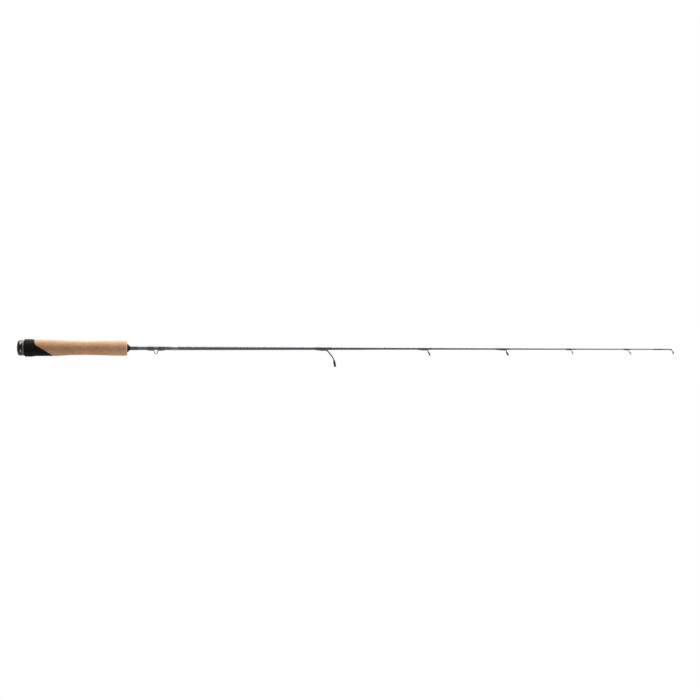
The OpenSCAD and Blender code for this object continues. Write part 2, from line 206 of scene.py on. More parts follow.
def handle_radius(x):
    """Radius of the handle at x, in millimetres; x may be an array."""
    x = np.asarray(x, float)
    r = np.full(x.shape, HANDLE_STATIONS[0][1])
    for (x0, r0), (x1, r1) in zip(HANDLE_STATIONS, HANDLE_STATIONS[1:]):
        r = np.where(x >= x0, r0 + (r1 - r0) * ease(np.clip((x - x0) / (x1 - x0), 0, 1)), r)
    inset = np.clip(x - HANDLE_END + CORK_EDGE, 0, CORK_EDGE)
    return r - (CORK_EDGE - np.sqrt(CORK_EDGE**2 - inset**2))


def blank_radius(x):
    return np.interp(x, [s[0] for s in BLANK_STATIONS], [s[1] / 2 for s in BLANK_STATIONS])


def span(node):
    """Where a CAD node starts and ends along the rod, in millimetres."""
    lo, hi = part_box(node)
    return lo.x / MM, hi.x / MM


def spaced(a, b, step):
    return np.linspace(a, b, max(2, int(math.ceil((b - a) / step)) + 1))


# ---- meshes, all in millimetres until finished ----


def merged(parts):
    """Several (vertices, faces) as one."""
    verts, faces, count = [], [], 0
    for v, f in parts:
        verts.append(np.asarray(v, float))
        faces += [tuple(i + count for i in face) for face in f]
        count += len(v)
    return np.concatenate(verts), faces


def grid_faces(rows, columns, first=0, loop=False):
    """Quads between rows of vertices that close round; loop joins the last row to the first."""
    faces = []
    for i in range(rows if loop else rows - 1):
        a, b = first + i * columns, first + (i + 1) % rows * columns
        for j in range(columns):
            k = (j + 1) % columns
            faces.append((a + j, a + k, b + k, b + j))
    return faces


def turned(outline, steps=96):
    """An outline of (x, radius) turned about the rod's axis.

    One that starts and ends at radius 0 is closed there; any other is a closed loop.
    """
    outline = [(float(x), float(r)) for x, r in outline]
    poles = outline[0][1] == 0
    rows = outline[1:-1] if poles else outline
    a = np.arange(steps) * 2 * math.pi / steps
    x, r = np.array(rows).T
    verts = np.stack(
        [np.repeat(x, steps), np.outer(r, np.sin(a)).ravel(), np.outer(r, np.cos(a)).ravel()], axis=1
    )
    faces = grid_faces(len(rows), steps, loop=not poles)
    if poles:
        n = len(verts)
        verts = np.vstack([verts, [outline[0][0], 0, 0], [outline[-1][0], 0, 0]])
        last = (len(rows) - 1) * steps
        for j in range(steps):
            k = (j + 1) % steps
            faces += [(n, k, j), (n + 1, last + j, last + k)]
    return verts, faces


def rounded(corners, steps=4):
    """Corners (x, radius, size of the rounding) as a loop of points, each corner turned by a small arc."""
    points, n = [], len(corners)
    for i, (x, r, size) in enumerate(corners):
        here = np.array([x, r], float)
        before = np.array(corners[i - 1][:2], float) - here
        after = np.array(corners[(i + 1) % n][:2], float) - here
        if size <= 0:
            points.append(tuple(here))
            continue
        length_before, length_after = np.linalg.norm(before), np.linalg.norm(after)
        p0 = here + before / length_before * min(size, 0.48 * length_before)
        p2 = here + after / length_after * min(size, 0.48 * length_after)
        for t in np.linspace(0, 1, steps + 1):
            points.append(tuple((1 - t) ** 2 * p0 + 2 * t * (1 - t) * here + t * t * p2))
    return points


def swept(path, thickness, width, squareness=2.0, sides=16):
    """A bar along a path near the XZ plane.

    thickness lies in that plane and width across it; squareness 2 is an ellipse.
    """
    path = np.asarray(path, float)
    n = len(path)
    thickness, width = np.broadcast_to(thickness, n), np.broadcast_to(width, n)
    tangent = np.gradient(path, axis=0)
    tangent /= np.linalg.norm(tangent, axis=1)[:, None]
    across = np.array([0.0, 1.0, 0.0]) - tangent * tangent[:, 1:2]
    across /= np.linalg.norm(across, axis=1)[:, None]
    up = np.cross(tangent, across)
    a = np.arange(sides) * 2 * math.pi / sides
    c = np.sign(np.cos(a)) * np.abs(np.cos(a)) ** (2 / squareness)
    s = np.sign(np.sin(a)) * np.abs(np.sin(a)) ** (2 / squareness)
    rings = (
        path[:, None, :]
        + up[:, None, :] * (thickness[:, None] / 2 * c)[:, :, None]
        + across[:, None, :] * (width[:, None] / 2 * s)[:, :, None]
    )
    verts = np.vstack([rings.reshape(-1, 3), path[0], path[-1]])
    faces = grid_faces(n, sides)
    last = (n - 1) * sides
    for j in range(sides):
        k = (j + 1) % sides
        faces += [(n * sides, k, j), (n * sides + 1, last + j, last + k)]
    return verts, faces


def mesh_of(name, verts, faces):
    """A mesh in millimetres with its faces turned outward."""
    mesh = bpy.data.meshes.new(name)
    mesh.from_pydata(np.asarray(verts, float).tolist(), [], faces)
    bm = bmesh.new()
    bm.from_mesh(mesh)
    bmesh.ops.recalc_face_normals(bm, faces=bm.faces)
    bm.to_mesh(mesh)
    bm.free()
    return mesh


def with_modifiers(mesh, *settings):
    """The mesh after modifiers, each given as (type, {setting: value})."""
    obj = bpy.data.objects.new("scratch", mesh)
    bpy.context.scene.collection.objects.link(obj)
    for kind, values in settings:
        modifier = obj.modifiers.new(kind.lower(), kind)
        for key, value in values.items():
            setattr(modifier, key, value)
    evaluated = obj.evaluated_get(bpy.context.evaluated_depsgraph_get())
    result = bpy.data.meshes.new_from_object(evaluated)
    bpy.data.objects.remove(obj)
    return result


def boolean(mesh, cutter, operation):
    """The mesh cut by another, without the slivers that the cut leaves."""
    tool = bpy.data.objects.new("scratch_cutter", cutter)
    bpy.context.scene.collection.objects.link(tool)
    result = with_modifiers(
        mesh, ("BOOLEAN", {"operation": operation, "solver": "EXACT", "object": tool})
    )
    bpy.data.objects.remove(tool)
    bm = bmesh.new()
    bm.from_mesh(result)
    bmesh.ops.remove_doubles(bm, verts=bm.verts, dist=WELD)
    bmesh.ops.dissolve_degenerate(bm, edges=bm.edges, dist=WELD)
    many_sided = [face for face in bm.faces if len(face.verts) > 4]
    bmesh.ops.triangulate(bm, faces=many_sided, ngon_method="BEAUTY")
    bm.to_mesh(result)
    bm.free()
    return result


def melted(parts, voxel, passes):
    """Overlapping closed parts joined into one skin with small fillets."""
    verts, faces = merged(parts)
    return with_modifiers(
        mesh_of("melt", verts, faces),
        ("REMESH", {"mode": "VOXEL", "voxel_size": voxel, "adaptivity": 0.0}),
        ("SMOOTH", {"factor": 0.5, "iterations": passes}),
    )


def points_of(mesh):
    co = np.zeros(len(mesh.vertices) * 3, np.float32)
    mesh.vertices.foreach_get("co", co)
    return co.reshape(-1, 3).astype(float)


def set_points(mesh, points):
    mesh.vertices.foreach_set("co", np.asarray(points, np.float32).ravel())
    mesh.update()


def finished(name, mesh, slot, nodes, crease=35, body=None):
    """Turns a millimetre mesh into a shown piece that rides on its CAD body."""
    mesh.name = name
    mesh.transform(Matrix.Scale(MM, 4))
    mesh.shade_smooth()
    mesh.set_sharp_from_angle(angle=math.radians(crease))
    mesh.materials.clear()
    mesh.materials.append(MATERIALS[slot])
    obj = bpy.data.objects.new(name, mesh)
    bpy.context.scene.collection.objects.link(obj)
    if nodes:
        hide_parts(*nodes)
    if body is None:
        body = BODY_OF[nodes[0]]
    if body != "blended":
        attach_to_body(obj, body)
    return obj


def piece(name, geometry, slot, nodes, **options):
    return finished(name, mesh_of(name, *geometry), slot, nodes, **options)


# ---- materials ----


class Finish:
    """A material's node tree, with short ways to add and join nodes.

    Textures are placed in the rod's own frame, and their scales are per millimetre.
    """

    def __init__(self, name, **sockets):
        self.material = bpy.data.materials.new(name)
        self.material.use_nodes = True
        self.tree = self.material.node_tree
        self.shader = self.tree.nodes["Principled BSDF"]
        for key, value in sockets.items():
            self.shader.inputs[key.replace("_", " ")].default_value = value
        self.place = self.add("ShaderNodeTexCoord").outputs["Object"]

    def add(self, kind, **settings):
        node = self.tree.nodes.new(kind)
        for key, value in settings.items():
            setattr(node, key, value)
        return node

    def feed(self, socket, value):
        if isinstance(value, bpy.types.NodeSocket):
            self.tree.links.new(value, socket)
        else:
            socket.default_value = value

    def scaled(self, scale, stretch=(1, 1, 1)):
        mapping = self.add("ShaderNodeMapping")
        self.feed(mapping.inputs["Vector"], self.place)
        mapping.inputs["Scale"].default_value = [scale / MM * s for s in stretch]
        return mapping.outputs[0]

    def noise(self, scale, detail=3.0, stretch=(1, 1, 1), roughness=0.55, distortion=0.0):
        node = self.add("ShaderNodeTexNoise")
        self.feed(node.inputs["Vector"], self.scaled(scale, stretch))
        node.inputs["Scale"].default_value = 1.0
        node.inputs["Detail"].default_value = detail
        node.inputs["Roughness"].default_value = roughness
        node.inputs["Distortion"].default_value = distortion
        return node.outputs[0]

    def cells(self, scale, stretch=(1, 1, 1)):
        node = self.add("ShaderNodeTexVoronoi", feature="F1")
        self.feed(node.inputs["Vector"], self.scaled(scale, stretch))
        node.inputs["Scale"].default_value = 1.0
        return node.outputs["Distance"]

    def ramp(self, value, *stops):
        """stops are (place, grey or (r, g, b))."""
        node = self.add("ShaderNodeValToRGB")
        elements = node.color_ramp.elements
        while len(elements) < len(stops):
            elements.new(0.5)
        for element, (position, colour) in zip(elements, stops):
            element.position = position
            rgb = (colour,) * 3 if isinstance(colour, (int, float)) else colour
            element.color = (*rgb, 1)
        self.feed(node.inputs[0], value)
        return node.outputs[0]

    def math(self, operation, a, b=0.0):
        node = self.add("ShaderNodeMath", operation=operation)
        self.feed(node.inputs[0], a)
        self.feed(node.inputs[1], b)
        return node.outputs[0]

    def mix(self, share, a, b, blend="MIX"):
        node = self.add("ShaderNodeMix", data_type="RGBA", blend_type=blend)
        for socket, value in zip((node.inputs[0], node.inputs[6], node.inputs[7]), (share, a, b)):
            self.feed(socket, (*value, 1) if isinstance(value, tuple) else value)
        return node.outputs[2]

    def attribute(self, name):
        return self.add("ShaderNodeAttribute", attribute_name=name).outputs["Fac"]

    def along(self, start, end):
        """0 before start and 1 after end, in metres along the rod."""
        split = self.add("ShaderNodeSeparateXYZ")
        self.feed(split.inputs[0], self.place)
        place = self.add("ShaderNodeMapRange")
        for socket, value in zip(place.inputs, (split.outputs["X"], start, end)):
            self.feed(socket, value)
        return place.outputs[0]

    def turns(self, pitch):
        """0 to 1 across each turn of a thread wound round the rod."""
        split = self.add("ShaderNodeSeparateXYZ")
        self.feed(split.inputs[0], self.place)
        around = self.math("ARCTAN2", split.outputs["Y"], split.outputs["Z"])
        along = self.math("MULTIPLY", split.outputs["X"], 1 / (pitch * MM))
        return self.math("FRACT", self.math("ADD", along, self.math("MULTIPLY", around, 0.5 / math.pi)))

    def bump(self, height, depth, strength=1.0):
        node = self.add("ShaderNodeBump")
        node.inputs["Strength"].default_value = strength
        node.inputs["Distance"].default_value = depth * MM
        self.feed(node.inputs["Height"], height)
        self.feed(self.shader.inputs["Normal"], node.outputs[0])

    def colour(self, value):
        self.feed(self.shader.inputs["Base Color"], value)

    def roughness(self, value, low, high):
        self.feed(self.shader.inputs["Roughness"], self.ramp(value, (0.25, low), (0.75, high)))


def cork_finish():
    f = Finish("cork", Specular_IOR_Level=0.25, Sheen_Weight=0.22, Sheen_Roughness=0.5)
    broad = f.noise(0.16, 5.0)
    fine = f.noise(1.3, 6.0, roughness=0.65)
    body = f.mix(
        f.ramp(broad, (0.3, 0.0), (0.72, 1.0)), (0.51, 0.268, 0.133), (0.64, 0.368, 0.198)
    )
    body = f.mix(f.ramp(fine, (0.3, 0.55), (0.6, 0.0)), body, (0.41, 0.195, 0.09))
    streaks = f.noise(0.75, 4.0, (0.5, 1, 1), distortion=1.2)
    body = f.mix(f.ramp(streaks, (0.56, 0.0), (0.66, 0.6)), body, (0.36, 0.16, 0.07))
    grain = f.cells(1.9, (1, 1.2, 1.2))
    body = f.mix(f.ramp(grain, (0.45, 0.0), (0.85, 0.4)), body, (0.38, 0.18, 0.085))
    body = f.mix(f.attribute("tone"), body, (0.785, 0.462, 0.253))
    # Painted highlight: the cork's rounded front edge is made paler, as if it caught the light.
    painted_edge_highlight = f.math("MULTIPLY", f.along(*CORK_HIGHLIGHT), 0.5)
    body = f.mix(painted_edge_highlight, body, (0.86, 0.56, 0.34))
    f.colour(f.mix(f.attribute("pit"), body, (0.15, 0.065, 0.028)))
    f.roughness(fine, 0.88, 0.66)
    f.bump(f.math("ADD", fine, f.math("MULTIPLY", grain, -0.5)), 0.055)
    return f


def grip_finish():
    f = Finish("grip_black", Specular_IOR_Level=0.09)
    crumbs = f.cells(3.6)
    fine = f.noise(5.0, 4.0)
    spread = f.ramp(crumbs, (0.1, 0.0), (0.75, 1.0))
    f.colour(f.mix(spread, (0.0105, 0.0118, 0.0125), (0.0048, 0.0054, 0.0058)))
    f.roughness(fine, 0.5, 0.8)
    f.bump(f.math("SUBTRACT", fine, f.math("MULTIPLY", crumbs, 0.6)), 0.07)
    return f


def cap_finish():
    f = Finish("cap_black", Specular_IOR_Level=0.32)
    smear = f.noise(0.5, 5.0, (1, 0.4, 0.4))
    f.colour(f.mix(smear, (0.006, 0.006, 0.0063), (0.012, 0.012, 0.0127)))
    f.roughness(smear, 0.24, 0.42)
    f.bump(f.noise(9.0, 2.0), 0.012)
    return f


def metal_finish(name, dark, light, low, high, brushed=(14, 1, 1), depth=0.006, metallic=1.0):
    """A brushed or plated metal whose shade and roughness wander a little."""
    f = Finish(name, Metallic=metallic)
    wear = f.noise(0.6, 5.0)
    f.colour(f.mix(f.ramp(wear, (0.3, 0.0), (0.7, 1.0)), dark, light))
    lines = f.noise(0.9, 3.0, brushed)
    f.roughness(lines, low, high)
    f.bump(lines, depth)
    return f


def tip_finish():
    """Bright steel tube, its loop blackened as the guides are."""
    f = metal_finish("tip_steel", (0.15, 0.152, 0.155), (0.25, 0.252, 0.256), 0.14, 0.3, (1, 1, 3), 0.003)
    bright = f.shader.inputs["Base Color"].links[0].from_socket
    black = f.mix(f.noise(0.6, 5.0), (0.012, 0.0125, 0.013), (0.03, 0.031, 0.033))
    f.colour(f.mix(f.along(*TIP_BLACKENS), bright, black))
    return f


def check_finish():
    f = Finish("check_black", Specular_IOR_Level=0.2)
    lines = f.noise(0.8, 3.0, (8, 1, 1))
    f.colour(f.mix(lines, (0.0045, 0.0049, 0.005), (0.0105, 0.0113, 0.0117)))
    f.roughness(lines, 0.3, 0.5)
    f.bump(lines, 0.01)
    return f


def thread_finish():
    """Grey thread lying turn beside turn under clear epoxy."""
    f = Finish("thread", Coat_Weight=0.8, Coat_Roughness=0.07, Coat_IOR=1.5)
    turn = f.turns(0.24)
    strand = f.ramp(turn, (0.0, 0.0), (0.5, 1.0), (1.0, 0.0))
    fray = f.noise(1.4, 4.0, (4, 1, 1))
    thread = f.mix(strand, (0.019, 0.0215, 0.025), (0.102, 0.112, 0.125))
    f.colour(f.mix(f.ramp(fray, (0.35, 0.0), (0.75, 0.5)), thread, (0.041, 0.045, 0.051)))
    f.roughness(fray, 0.3, 0.5)
    f.bump(strand, 0.02, 0.5)
    return f


def graphite_finish():
    """Slate grey graphite under clear coat.

    It has faint fibres along the rod, and the faint spiral that the moulding tape leaves.
    """
    f = Finish("graphite", Metallic=0.35, Coat_Weight=0.9, Coat_Roughness=0.06, Coat_IOR=1.5)
    fibres = f.noise(1.1, 5.0, (0.05, 2.2, 2.2), roughness=0.7)
    tape = f.ramp(f.turns(5.5), (0.0, 0.0), (0.06, 1.0), (0.95, 0.9), (1.0, 0.0))
    body = f.mix(f.ramp(fibres, (0.35, 0.0), (0.65, 1.0)), (0.078, 0.089, 0.100), (0.15, 0.169, 0.186))
    flakes = f.noise(7.0, 2.0)
    body = f.mix(f.ramp(flakes, (0.62, 0.0), (0.74, 0.25)), body, (0.26, 0.28, 0.30))
    shade = f.mix(f.along(*BLANK_DARKENS), (1.0, 1.0, 1.0), (0.4, 0.4, 0.4))
    body = f.mix(1.0, body, shade, "MULTIPLY")
    f.colour(f.mix(tape, f.mix(0.12, body, (0.04, 0.045, 0.05)), body))
    f.roughness(fibres, 0.26, 0.42)
    f.bump(tape, 0.006, 0.3)
    return f


def silver_finish():
    """Silver trim thread under epoxy."""
    f = Finish("silver", Metallic=0.75, Coat_Weight=0.5, Coat_Roughness=0.1)
    strand = f.ramp(f.turns(0.3), (0.0, 0.0), (0.5, 1.0), (1.0, 0.0))
    wander = f.noise(0.8, 4.0)
    silver = f.mix(strand, (0.19, 0.187, 0.196), (0.40, 0.394, 0.41))
    f.colour(f.mix(f.ramp(wander, (0.4, 0.0), (0.8, 0.5)), silver, (0.22, 0.217, 0.226)))
    f.roughness(wander, 0.28, 0.45)
    f.bump(strand, 0.015, 0.5)
    return f


def ring_finish():
    """Polished black ceramic."""
    f = Finish("ring_black", Coat_Weight=0.7, Coat_Roughness=0.04)
    mottle = f.noise(2.0, 4.0)
    f.colour(f.mix(mottle, (0.006, 0.006, 0.007), (0.016, 0.017, 0.019)))
    f.roughness(mottle, 0.12, 0.24)
    f.bump(f.noise(7.0, 2.0), 0.003)
    return f


MATERIALS = {
    "cork": cork_finish().material,
    "grip_black": grip_finish().material,
    "cap_black": cap_finish().material,
    "bronze": metal_finish(
        "bronze", (0.128, 0.089, 0.065), (0.23, 0.165, 0.123), 0.48, 0.64, metallic=0.6
    ).material,
    "check_black": check_finish().material,
    "thread": thread_finish().material,
    "silver": silver_finish().material,
    "graphite": graphite_finish().material,
    "ring_black": ring_finish().material,
    "tip_steel": tip_finish().material,
    "steel": metal_finish(
        "steel", (0.022, 0.023, 0.024), (0.05, 0.052, 0.055), 0.2, 0.38, (1, 1, 3), 0.004, 0.9
    ).material,
}


# ---- butt end ----


def cap_outline():
    """The domed cap with its spigot, and the blind bore that takes the blank's end."""
    first = math.asin(CAP_FLAT_RADIUS / CAP_RADIUS)
    dome = [
        (CAP_DOME * (math.cos(first) - math.cos(a)), CAP_RADIUS * math.sin(a))
        for a in np.linspace(first, math.pi / 2, 22)
    ]
    side = [(x, CAP_RADIUS) for x in CAP_SIDE]
    back_radius = 9.0
    back = rounded(
        [(CAP_SIDE[-1], CAP_RADIUS, 0), (CAP_LENGTH, CAP_RADIUS, CAP_EDGE), (CAP_LENGTH, back_radius, 0)]
    )[1:]
    bore = blank_radius(BLANK_START) + GAP
    return (
        [(0, 0), (0, CAP_FLAT_RADIUS / 2), (0, CAP_FLAT_RADIUS - 0.25)]
        + dome[1:] + side + back
        + [(CAP_LENGTH, SPIGOT_RADIUS), (SPIGOT_END, SPIGOT_RADIUS), (SPIGOT_END, bore)]
        + [(BLANK_START - GAP, bore), (BLANK_START - GAP, 0)]
    )


def cap_dashes():
    """Slanted dashes printed round the cap's shoulder, each a thin closed sheet."""
    columns, rows = 16, 8
    total = rows * columns
    slant = DASH_SLANT * np.linspace(-1, 1, columns)
    x = np.linspace(DASH_START, DASH_END, rows)[:, None] + slant[None, :]
    faces = []
    for sheet in (0, total):
        for i in range(rows - 1):
            for j in range(columns - 1):
                a = sheet + i * columns + j
                faces.append((a, a + 1, a + columns + 1, a + columns))
    rim = (
        [j for j in range(columns)]
        + [i * columns + columns - 1 for i in range(1, rows)]
        + [(rows - 1) * columns + j for j in range(columns - 2, -1, -1)]
        + [i * columns for i in range(rows - 2, 0, -1)]
    )
    for a, b in zip(rim, rim[1:] + rim[:1]):
        faces.append((a, b, b + total, a + total))
    parts = []
    for n in range(DASHES):
        angle = DASH_FIRST_ANGLE + n * 2 * math.pi / DASHES + DASH_HALF_ANGLE * np.linspace(-1, 1, columns)
        sheets = [
            np.stack([x, r * np.sin(angle) + 0 * x, r * np.cos(angle) + 0 * x], axis=2).reshape(-1, 3)
            for r in (CAP_RADIUS + DASH_PROUD, CAP_RADIUS - DASH_SUNK)
        ]
        parts.append((np.vstack(sheets), faces))
    return merged(parts)


def make_butt():
    piece("butt_cap_skin", turned(cap_outline(), 128), "cap_black", ["butt_cap"])
    piece("butt_cap_dashes", cap_dashes(), "silver", [], body="handle")
    a, b = span("butt_trim_ring")
    inner, middle = SPIGOT_RADIUS + GAP, (a + b) / 2
    groove = [(-0.3, 0), (-0.15, RING_GROOVE_DEPTH), (0.15, RING_GROOVE_DEPTH), (0.3, 0)]
    outline = rounded(
        [(a, inner, 0), (a, RING_RADIUS, RING_EDGE)]
        + [(middle + x, RING_RADIUS - depth, 0) for x, depth in groove]
        + [(b, RING_RADIUS, RING_EDGE), (b, inner, 0)]
    )
    piece("butt_trim_ring_skin", turned(outline, 128), "bronze", ["butt_trim_ring"])


# ---- handle ----


def behind_joint(shift):
    """The space behind the joint of grip and cork: upright above, then an arc into a diagonal."""
    reach, half_width, depth = 60.0, 20.0, 100.0
    bend = [
        (
            JOINT_TOP_X + shift + JOINT_BEND_R * (1 - math.cos(a)),
            JOINT_BEND_Z - JOINT_BEND_R * math.sin(a),
        )
        for a in np.linspace(0, math.pi / 2 - JOINT_SLOPE, 14)
    ]
    x, z = bend[-1]
    outline = [(-reach, -reach), (-reach, reach), (JOINT_TOP_X + shift, reach)] + bend
    outline += [(x + reach, z - reach * math.tan(JOINT_SLOPE)), (x + reach, -depth)]
    n = len(outline)
    verts = [(px, side, pz) for side in (-half_width, half_width) for px, pz in outline]
    faces = [tuple(range(n)), tuple(range(2 * n - 1, n - 1, -1))]
    faces += [(i, (i + 1) % n, (i + 1) % n + n, i + n) for i in range(n)]
    return mesh_of("joint_cutter", verts, faces)


def handle_sleeve(a, b, step, steps, bore):
    """A length of the handle's outline, hollow for the blank, with its two rims a little worn."""
    inset = np.array([0.0, 0.3, 1.0]) * SLEEVE_EDGE
    stops = np.unique(
        np.concatenate([a + inset, spaced(a + SLEEVE_EDGE, b - SLEEVE_EDGE, step), b - inset])
    )
    worn = SLEEVE_EDGE - np.minimum(np.minimum(stops - a, b - stops), SLEEVE_EDGE)
    radius = handle_radius(stops) - worn**2 / SLEEVE_EDGE
    return turned(list(zip(stops, radius)) + [(b, bore), (a, bore)], steps)


def pitted(mesh, seed, count, a, b, tone):
    """Sinks small oblong pits into the cork's outer face, and marks them and the rims for the finish."""
    # How far a pit can reach, in millimetres along the rod and in radians round it.
    reach, spread = 2.5, 0.3
    rng = np.random.default_rng(seed)
    points = points_of(mesh)
    x, r = points[:, 0], np.hypot(points[:, 1], points[:, 2])
    angle = np.arctan2(points[:, 1], points[:, 2])
    outside = r > handle_radius(x) - 0.3
    pit = np.zeros(len(points))
    sink = np.zeros(len(points))
    for _ in range(count):
        px, pa = rng.uniform(a + 0.6, b - 0.6), rng.uniform(-math.pi, math.pi)
        size = rng.uniform(0.16, 0.36) * (1.8 if rng.random() < 0.08 else 1.0)
        length, turn, depth = size * rng.uniform(1.0, 2.6), rng.uniform(0, math.pi), rng.uniform(0.07, 0.2)
        shade = rng.uniform(0.3, 0.95)
        dx = x - px
        da = (angle - pa + math.pi) % (2 * math.pi) - math.pi
        near = outside & (np.abs(dx) < reach) & (np.abs(da) < spread)
        u = dx[near] * math.cos(turn) + da[near] * r[near] * math.sin(turn)
        v = -dx[near] * math.sin(turn) + da[near] * r[near] * math.cos(turn)
        s = ease(np.clip(1.25 - (u / length) ** 2 - (v / size) ** 2, 0, 1))
        pit[near] = np.maximum(pit[near], s * shade)
        sink[near] = np.maximum(sink[near], s * depth)
    scale = 1 - np.where(outside, sink, 0) / np.maximum(r, 1)
    points[:, 1] *= scale
    points[:, 2] *= scale
    set_points(mesh, points)
    rim = np.minimum(np.abs(x - a), np.abs(x - b)) < 0.05
    pit = np.maximum(pit, np.where(rim & outside, 0.55, 0))
    for name, values in (("pit", pit), ("tone", np.full(len(points), tone))):
        mesh.attributes.new(name, "FLOAT", "POINT").data.foreach_set("value", values.astype(np.float32))


def make_handle():
    bore = blank_radius(0) + GAP
    pits_per_ring = 120
    cork_nodes = sorted(n for n in frame["nodes"] if n.startswith("cork_ring_"))
    length = (HANDLE_END - JOINT_TOP_X) / len(cork_nodes)
    tones = np.linspace(0.2, 0.6, len(cork_nodes))
    tones += np.random.default_rng(11).uniform(-0.07, 0.07, len(cork_nodes))
    for k, node in enumerate(cork_nodes):
        a = JOINT_TOP_X + k * length
        mesh = mesh_of(node, *handle_sleeve(a, a + length, 0.33, 200, bore))
        if a < GRIP_REACH:
            mesh = boolean(mesh, behind_joint(GAP), "DIFFERENCE")
        pitted(mesh, 100 + k, pits_per_ring, a, a + length, tones[k])
        finished(node + "_skin", mesh, "cork", [node])
    grip = mesh_of("grip", *handle_sleeve(HANDLE_STATIONS[0][0], GRIP_REACH, 0.4, 160, bore))
    grip = boolean(grip, behind_joint(0), "INTERSECT")
    mouth, floor, wall = CAP_LENGTH + 1.1, SPIGOT_END + GAP, SPIGOT_RADIUS + GAP
    socket = mesh_of("socket", *turned([(mouth, 0), (mouth, wall), (floor, wall), (floor, 0)], 96))
    finished("butt_grip_skin", boolean(grip, socket, "DIFFERENCE"), "grip_black", ["butt_grip"])


# ---- thread wraps, trim and hook keeper ----


def wrap_geometry(a, b, thickness, foot_width=0.0, foot_depth=None, steps=64):
    """A sleeve of thread under epoxy from a to b, domed at its ends.

    foot_depth(x) is how far below the axis a foot beneath it reaches.
    """
    dome = min(WRAP_DOME, 0.3 * (b - a))
    rise = dome * np.array([0, 0.06, 0.2, 0.45, 0.75])
    stops = np.unique(np.concatenate([a + rise, spaced(a + dome, b - dome, 0.5), b - rise]))
    angle = np.arange(steps) * 2 * math.pi / steps
    down = np.abs(angle - math.pi)
    outer, inner = [], []
    for x in stops:
        s = min(1.0, min(x - a, b - x) / dome)
        t = WRAP_RIM + (thickness - WRAP_RIM) * math.sqrt(max(0.0, 1 - (1 - s) ** 2))
        radius = blank_radius(x) + t
        r = np.full(steps, radius)
        if foot_depth is not None:
            depth, half = foot_depth(x) + t, foot_width / 2 + 0.7 * t
            reach = math.hypot(half, depth)
            if reach > radius:
                corner = math.atan2(half, depth)
                tangent = corner + math.acos(radius / reach)
                r = np.where(down < tangent, radius / np.cos(np.clip(tangent - down, 0, 1.5)), r)
                r = np.where(down < corner, depth / np.cos(np.minimum(down, 1.5)), r)
        outer.append(np.stack([np.full(steps, x), r * np.sin(angle), r * np.cos(angle)], axis=1))
        low = blank_radius(x) * 0.985
        inner.append(np.stack([np.full(steps, x), low * np.sin(angle), low * np.cos(angle)], axis=1))
    rows = outer + inner[::-1]
    return np.concatenate(rows), grid_faces(len(rows), steps, loop=True)


def softened(geometry, passes):
    """The geometry with its faces eased by a little smoothing."""
    return with_modifiers(mesh_of("soft", *geometry), ("SMOOTH", {"factor": 0.4, "iterations": passes}))


def make_fore_end():
    a, b = span("winding_check")
    outline = rounded([
        (a, blank_radius(a) + GAP, 0), (a, 5.5, 0.2), (a + 0.4, 5.8, 0.35), (a + 1.25, 5.35, 0.5),
        (a + 2.6, 3.9, 0.8), (b - 0.6, 3.35, 0.4), (b, 3.15, 0.25), (b, blank_radius(b) + GAP, 0),
    ])
    piece("winding_check_skin", turned(outline, 96), "check_black", ["winding_check"])
    a, b = span("fore_wrap")
    piece("fore_wrap_skin", wrap_geometry(a, b, WRAP_THICKNESS), "thread", ["fore_wrap"])
    a, b = span("trim_band")
    piece("trim_band_skin", wrap_geometry(a, b, TRIM_THICKNESS), "silver", ["trim_band"])


def keeper_foot(x):
    """Thickness of the keeper's wire: pressed flat under the wraps and ground thin at its two tips."""
    inward = KEEPER_BEND_R + KEEPER_FOOT - np.abs(np.asarray(x, float) - KEEPER_X)
    flat = KEEPER_FLAT * np.clip(KEEPER_TIP_SHARE + inward / KEEPER_TAPER, KEEPER_TIP_SHARE, 1)
    round_share = ease(np.clip((inward - KEEPER_FOOT + KEEPER_STEP_BEHIND) / KEEPER_STEP, 0, 1))
    return flat + (2 * KEEPER_WIRE_R - KEEPER_FLAT) * round_share


def make_keeper():
    """The hook keeper: one bent wire with a loop between two feet."""
    top = -(blank_radius(0) + GAP)
    bend_z = KEEPER_WIRE_R + KEEPER_BEND_R - KEEPER_DEPTH
    corner = KEEPER_CORNER
    rear, front = KEEPER_X - KEEPER_BEND_R, KEEPER_X + KEEPER_BEND_R
    foot = np.linspace(front + KEEPER_FOOT, front + corner, 20)
    side = [(x, top - float(keeper_foot(x)) / 2) for x in foot]
    z = side[-1][1]
    side += [
        (front + corner - corner * math.sin(a), z - corner + corner * math.cos(a))
        for a in np.linspace(0, math.pi / 2, 9)[1:]
    ]
    side += [(front, z) for z in np.linspace(z - corner, bend_z, 5)[1:]]
    loop = [
        (KEEPER_X + KEEPER_BEND_R * math.cos(a), bend_z - KEEPER_BEND_R * math.sin(a))
        for a in np.linspace(0, math.pi, 25)[1:-1]
    ]
    other = [(rear + front - x, z) for x, z in reversed(side)]
    path = np.array([(x, 0.0, z) for x, z in side + loop + other])
    thickness = keeper_foot(path[:, 0])
    width = 2 * KEEPER_WIRE_R * (2 * KEEPER_WIRE_R / np.maximum(thickness, KEEPER_FLAT)) ** 0.5
    piece("hook_keeper_skin", swept(path, thickness, width, sides=24), "steel", ["hook_keeper"])
    for node in ("keeper_wrap_rear", "keeper_wrap_front"):
        a, b = span(node)

        def depth(x):
            inward = KEEPER_BEND_R + KEEPER_FOOT - abs(x - KEEPER_X)
            shown = ease(np.clip(1 + inward / KEEPER_WRAP_LEAD, 0, 1))
            return blank_radius(x) + (keeper_foot(x) + GAP) * shown

        mesh = softened(wrap_geometry(a, b, WRAP_THICKNESS, KEEPER_WRAP_WIDTH, depth, 96), 3)
        finished(node + "_skin", mesh, "thread", [node])


# ---- blank ----


